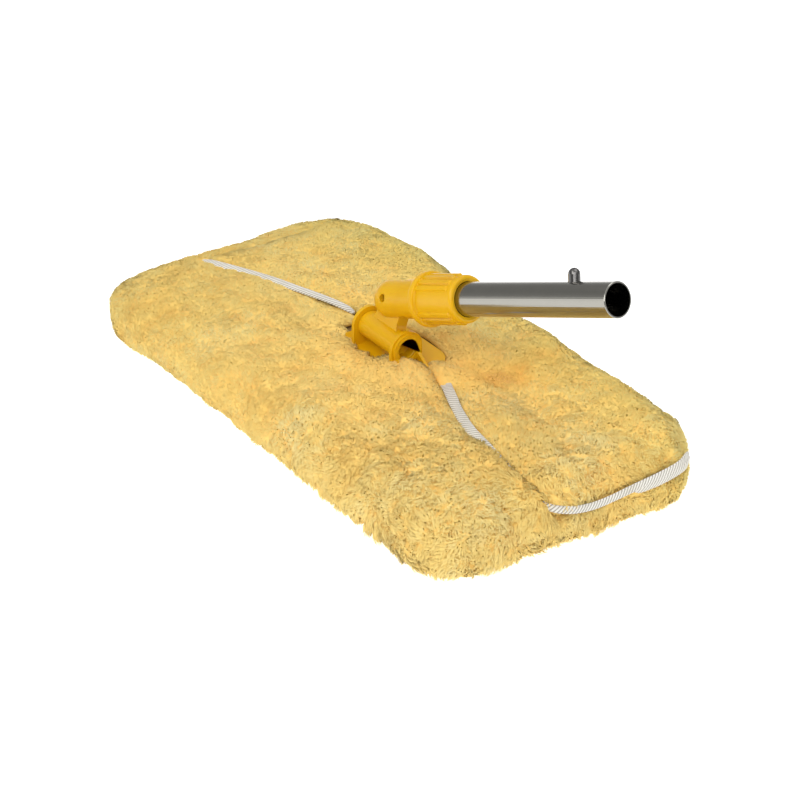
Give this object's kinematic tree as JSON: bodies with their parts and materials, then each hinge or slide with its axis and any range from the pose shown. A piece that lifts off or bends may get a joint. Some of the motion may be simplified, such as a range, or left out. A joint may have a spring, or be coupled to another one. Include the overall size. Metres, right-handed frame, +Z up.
{
  "type": "sheepskin wash mop head",
  "caption": "Rectangular sheepskin wash pad on a stiff core, with a two-axis plastic swivel, a locking collar and a steel tube stub with a snap button.",
  "frame": {"origin": "middle of the washing face, on the surface that the pad stands on", "axes": "+X along the pad towards the end that the tube leans over, +Y towards the flap's closed side, +Z up"},
  "size_m": [0.423, 0.215, 0.1654],
  "materials": {
    "wool": "deep curly pile",
    "twill_tape": "woven",
    "foam": "open cell foam",
    "board": "matte",
    "yellow_plastic": "semi-gloss moulded",
    "collet_plastic": "matte",
    "polished_steel": "polished",
    "plain_steel": "plain"
  },
  "bodies": {
    "head": {"wool_sleeve": "wool", "wool_flap": "wool", "slit_tape": "twill_tape", "flap_tape": "twill_tape", "pocket_tape": "twill_tape", "foam_block": "foam", "backing_plate": "board", "swivel_bracket": "yellow_plastic", "bracket_screw_1": "plain_steel", "bracket_screw_2": "plain_steel", "bracket_screw_3": "plain_steel", "bracket_screw_4": "plain_steel", "cross_pin": "yellow_plastic"},
    "tee": {"pivot_tee": "yellow_plastic"},
    "socket": {"handle_socket": "yellow_plastic", "socket_pin": "plain_steel", "collet": "collet_plastic", "tube": "polished_steel", "button_spring": "plain_steel"},
    "collar": {"lock_collar": "yellow_plastic"},
    "button": {"snap_button": "polished_steel"}
  },
  "joints": [
    {"name": "head_roll", "type": "hinge", "parent": "head", "child": "tee", "pos_m": [0, 0, 0.0564], "axis": [1, 0, 0], "range_deg": [-41, 79]},
    {"name": "socket_pitch", "type": "hinge", "parent": "tee", "child": "socket", "pos_m": [0, 0.00832, 0.08057], "axis": [0, 0.9455, -0.3256], "range_deg": [-147.7, 12.3]},
    {"name": "collar_twist", "type": "hinge", "parent": "socket", "child": "collar", "pos_m": [0, 0.00832, 0.08057], "axis": [0.9252, 0.1235, 0.3588], "range_deg": [0, 90]},
    {"name": "button_press", "type": "slide", "parent": "socket", "child": "button", "axis": [0.3781, -0.2194, -0.8994], "range_m": [0, 0.008], "stiffness_N_per_m": 800, "springref_m": -0.004, "deforming": ["button_spring"]}
  ]
}
